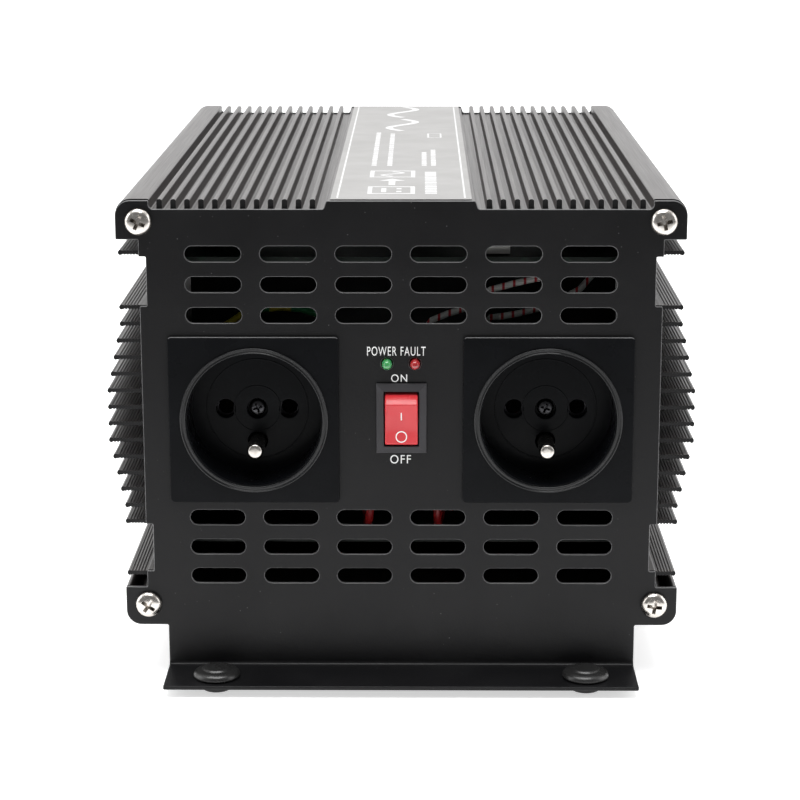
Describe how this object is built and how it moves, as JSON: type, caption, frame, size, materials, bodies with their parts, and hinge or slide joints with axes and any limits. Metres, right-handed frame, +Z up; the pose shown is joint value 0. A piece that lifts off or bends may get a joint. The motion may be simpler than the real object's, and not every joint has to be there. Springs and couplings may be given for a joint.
{
  "type": "power inverter",
  "caption": "Battery to mains power inverter: finned black aluminium case, bent steel end panels on rubber feet, round recessed outlets, rocker switch, lamps, fans and battery terminals.",
  "frame": {"origin": "on the surface that the feet stand on, under the middle of the case", "axes": "+Z up, the outlets and the switch face -Y, +X to the right seen from the front"},
  "size_m": [0.1728, 0.287, 0.145],
  "materials": {
    "anodised": "satin black anodised extrusion",
    "powder_coat": "fine black powder coat",
    "label": "light grey printed label",
    "nickel": "bright nickel plate",
    "brass": "plain brass",
    "rubber": "glossy black rubber",
    "black_plastic": "black moulded plastic",
    "switch_black": "satin black plastic",
    "switch_red": "translucent red plastic",
    "lamp_green": "clear green LED",
    "lamp_red": "clear red LED",
    "chrome_wire": "bright plated wire",
    "terminal_red": "red moulded plastic",
    "board": "green circuit board",
    "ferrite": "dark grey ferrite",
    "clamp_steel": "zinc plated clamp and black transistors",
    "capacitor": "shrink sleeve",
    "copper": "enamelled copper winding",
    "wire_red": "red insulation",
    "wire_black": "black insulation",
    "wire_white": "white insulation",
    "wire_earth": "green and yellow insulation"
  },
  "bodies": {
    "case": {"battery_lead_black": "wire_black", "battery_lead_red": "wire_red", "black_terminal_base": "black_plastic", "black_terminal_nut": "nickel", "black_terminal_stud": "brass", "bottom_shell": "anodised", "earth_wire": "wire_earth", "fan_frame_left": "black_plastic", "fan_frame_right": "black_plastic", "fan_guard_left": "chrome_wire", "fan_guard_right": "chrome_wire", "fault_lamp": "lamp_red", "front_foot_left": "rubber", "front_foot_right": "rubber", "front_panel": "powder_coat", "front_screw_lower_left": "nickel", "front_screw_lower_right": "nickel", "front_screw_upper_left": "nickel", "front_screw_upper_right": "nickel", "high_voltage_capacitor_left": "capacitor", "high_voltage_capacitor_right": "capacitor", "input_capacitor_left": "capacitor", "input_capacitor_right": "capacitor", "lead_connector": "wire_white", "left_outlet_body": "black_plastic", "left_outlet_earth_pin": "nickel", "left_outlet_live_sleeve": "brass", "left_outlet_neutral_sleeve": "brass", "left_outlet_screw": "nickel", "live_lead": "wire_white", "neutral_lead": "wire_white", "output_board": "board", "output_coil": "copper", "power_board": "board", "power_lamp": "lamp_green", "rear_foot_left": "rubber", "rear_foot_right": "rubber", "rear_panel": "powder_coat", "rear_screw_lower_left": "nickel", "rear_screw_lower_right": "nickel", "rear_screw_upper_left": "nickel", "rear_screw_upper_right": "nickel", "red_terminal_base": "terminal_red", "red_terminal_nut": "nickel", "red_terminal_stud": "brass", "right_outlet_body": "black_plastic", "right_outlet_earth_pin": "nickel", "right_outlet_live_sleeve": "brass", "right_outlet_neutral_sleeve": "brass", "right_outlet_screw": "nickel", "switch_housing": "switch_black", "top_label": "label", "top_shell": "anodised", "transformer_left": "ferrite", "transformer_right": "ferrite", "transistor_row_left": "clamp_steel", "transistor_row_right": "clamp_steel"},
    "rocker": {"switch_rocker": "switch_red"},
    "rotor_left": {"fan_rotor_left": "black_plastic"},
    "rotor_right": {"fan_rotor_right": "black_plastic"}
  },
  "joints": [
    {"name": "switch_rock", "type": "hinge", "parent": "case", "child": "rocker", "pos_m": [0, -0.1235, 0.0807], "axis": [-1, 0, 0], "range_deg": [0, 25]},
    {"name": "fan_spin_left", "type": "hinge", "parent": "case", "child": "rotor_left", "pos_m": [0.033, 0.1155, 0.1007], "axis": [0, 1, 0], "continuous": true},
    {"name": "fan_spin_right", "type": "hinge", "parent": "case", "child": "rotor_right", "pos_m": [-0.033, 0.1155, 0.1007], "axis": [0, 1, 0], "continuous": true}
  ]
}
